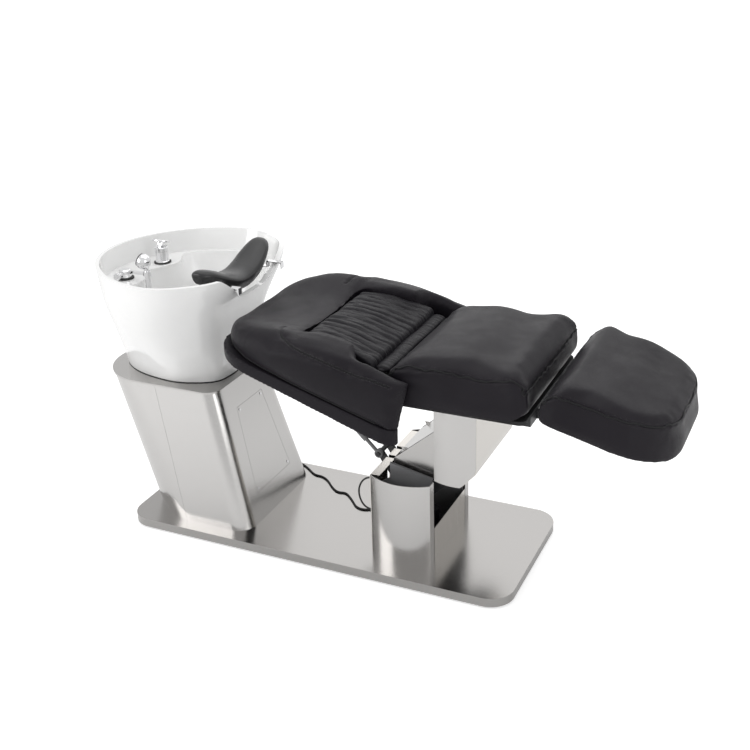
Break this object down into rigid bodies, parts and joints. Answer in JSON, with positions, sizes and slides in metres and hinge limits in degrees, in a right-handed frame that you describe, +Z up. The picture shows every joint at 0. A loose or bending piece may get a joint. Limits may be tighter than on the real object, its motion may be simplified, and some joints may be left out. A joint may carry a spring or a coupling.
{
  "type": "hair washing bed",
  "caption": "Lay-flat hair washing bed: ceramic basin with mixer, hand shower and gel neck rest on a steel column, and an upholstered bed with leg rest on a swing-arm lift.",
  "frame": {"origin": "on the floor, under the middle of the base plate", "axes": "+X along the bed from the basin end to the foot end, +Y across it, +Z up"},
  "size_m": [2.0239, 0.6906, 0.9475],
  "materials": {
    "brushed_steel": "brushed lengthwise, plain",
    "frame_steel": "black powder coat",
    "grey_steel": "grey paint",
    "pin_steel": "ground",
    "screws": "polished",
    "chrome": "polished",
    "glaze": "glossy white glaze",
    "black_rubber": "matte",
    "gel": "soft black gel with a satin skin",
    "upholstery": "smooth charcoal leather look, semi gloss",
    "board": "plain plywood",
    "box_plastic": "matte",
    "white_plastic": "smooth",
    "nozzle": "matte"
  },
  "bodies": {
    "base": {"base_plate": "brushed_steel", "base_frame": "frame_steel", "levelling_feet": "black_rubber", "column_rear_shell": "brushed_steel", "column_front_shell": "brushed_steel", "access_panel": "brushed_steel", "panel_screws": "screws", "column_top_plate": "brushed_steel", "column_frame": "frame_steel", "control_box": "box_plastic", "drain_trap": "white_plastic", "drain_hose": "white_plastic", "supply_hoses": "pin_steel", "basin": "glaze", "drain_flange": "chrome", "basin_gaskets": "black_rubber", "mixer_body": "chrome", "shower_holder": "chrome", "hose_guide": "chrome", "lift_near_shell": "brushed_steel", "lift_far_shell": "brushed_steel", "lift_end_panel": "brushed_steel", "lift_rear_panel": "brushed_steel", "lift_base_bracket": "grey_steel", "lower_pivot_pins": "pin_steel", "lift_actuator_body": "frame_steel", "link_cable": "black_rubber", "loop_cable": "black_rubber", "cable_grommets": "black_rubber"},
    "strainer": {"hair_strainer": "chrome"},
    "mixer_cap": {"mixer_cap": "chrome"},
    "mixer_lever": {"mixer_lever": "chrome"},
    "hand_shower": {"hand_shower": "chrome", "spray_face": "nozzle", "shower_hose": "pin_steel"},
    "neck_rest": {"neck_rest": "gel", "neck_rest_brackets": "chrome"},
    "lift_arm": {"lift_arms": "frame_steel", "arm_cover": "brushed_steel", "arm_cover_sides": "brushed_steel"},
    "lift_link": {"lift_links": "frame_steel"},
    "lift_rod": {"lift_actuator_rod": "pin_steel"},
    "carriage": {"carriage_frame": "frame_steel", "upper_pivot_pins": "pin_steel", "upper_near_shell": "brushed_steel", "upper_far_shell": "brushed_steel", "upper_front_panel": "brushed_steel", "seat_frame": "frame_steel", "seat_board": "board", "seat_cushion": "upholstery", "hinge_pins": "pin_steel"},
    "recline_links": {"recline_links": "grey_steel"},
    "backrest": {"backrest_frame": "frame_steel", "backrest_board": "board", "backrest_band": "upholstery", "backrest_cushion": "upholstery", "lumbar_cushion": "upholstery"},
    "leg_rest": {"legrest_frame": "frame_steel", "legrest_board": "board", "legrest_cushion": "upholstery"}
  },
  "joints": [
    {"name": "lift", "type": "hinge", "parent": "base", "child": "lift_arm", "pos_m": [0.245, 0, 0.23], "axis": [0, 1, 0], "range_deg": [0, 37]},
    {"name": "lift_link_turn", "type": "hinge", "parent": "base", "child": "lift_link", "pos_m": [0.285, 0, 0.17], "axis": [0, 1, 0], "range_deg": [0, 37]},
    {"name": "carriage_level", "type": "hinge", "parent": "lift_arm", "child": "carriage", "pos_m": [0.48, 0, 0.47], "axis": [0, 1, 0], "range_deg": [-37, 0]},
    {"name": "recline_link_turn", "type": "hinge", "parent": "lift_arm", "child": "recline_links", "pos_m": [0.175, 0, 0.335], "axis": [0, 1, 0], "range_deg": [-37, 0]},
    {"name": "backrest_recline", "type": "hinge", "parent": "carriage", "child": "backrest", "pos_m": [0.262, 0, 0.69], "axis": [0, 1, 0], "range_deg": [0, 37]},
    {"name": "lift_rod_slide", "type": "slide", "parent": "base", "child": "lift_rod", "axis": [0, 0, 1], "range_m": [-0.0572, 0]},
    {"name": "leg_rest_tilt", "type": "hinge", "parent": "carriage", "child": "leg_rest", "pos_m": [0.775, 0, 0.63], "axis": [0, 1, 0], "range_deg": [0, 55]},
    {"name": "mixer_turn", "type": "hinge", "parent": "base", "child": "mixer_cap", "pos_m": [-0.70802, 0.094, 0.89544], "axis": [0, 0, 1], "range_deg": [-50, 50]},
    {"name": "mixer_tilt", "type": "hinge", "parent": "mixer_cap", "child": "mixer_lever", "pos_m": [-0.70802, 0.094, 0.91774], "axis": [1, 0, 0], "range_deg": [0, 20]},
    {"name": "shower_lift", "type": "slide", "parent": "base", "child": "hand_shower", "axis": [0, 0, 1], "range_m": [0, 0.12]},
    {"name": "neck_rest_lift", "type": "slide", "parent": "base", "child": "neck_rest", "axis": [0, 0, 1], "range_m": [0, 0.03]},
    {"name": "strainer_lift", "type": "slide", "parent": "base", "child": "strainer", "axis": [0, 0, 1], "range_m": [0, 0.025]}
  ],
  "couplings": [
    {"joint": "lift_link_turn", "follows": "lift", "ratio": 1},
    {"joint": "carriage_level", "follows": "lift", "ratio": -1},
    {"joint": "recline_link_turn", "follows": "lift", "ratio": -1},
    {"joint": "backrest_recline", "follows": "lift", "ratio": 1},
    {"joint": "lift_rod_slide", "follows": "lift", "m_per_rad": -0.08844}
  ]
}
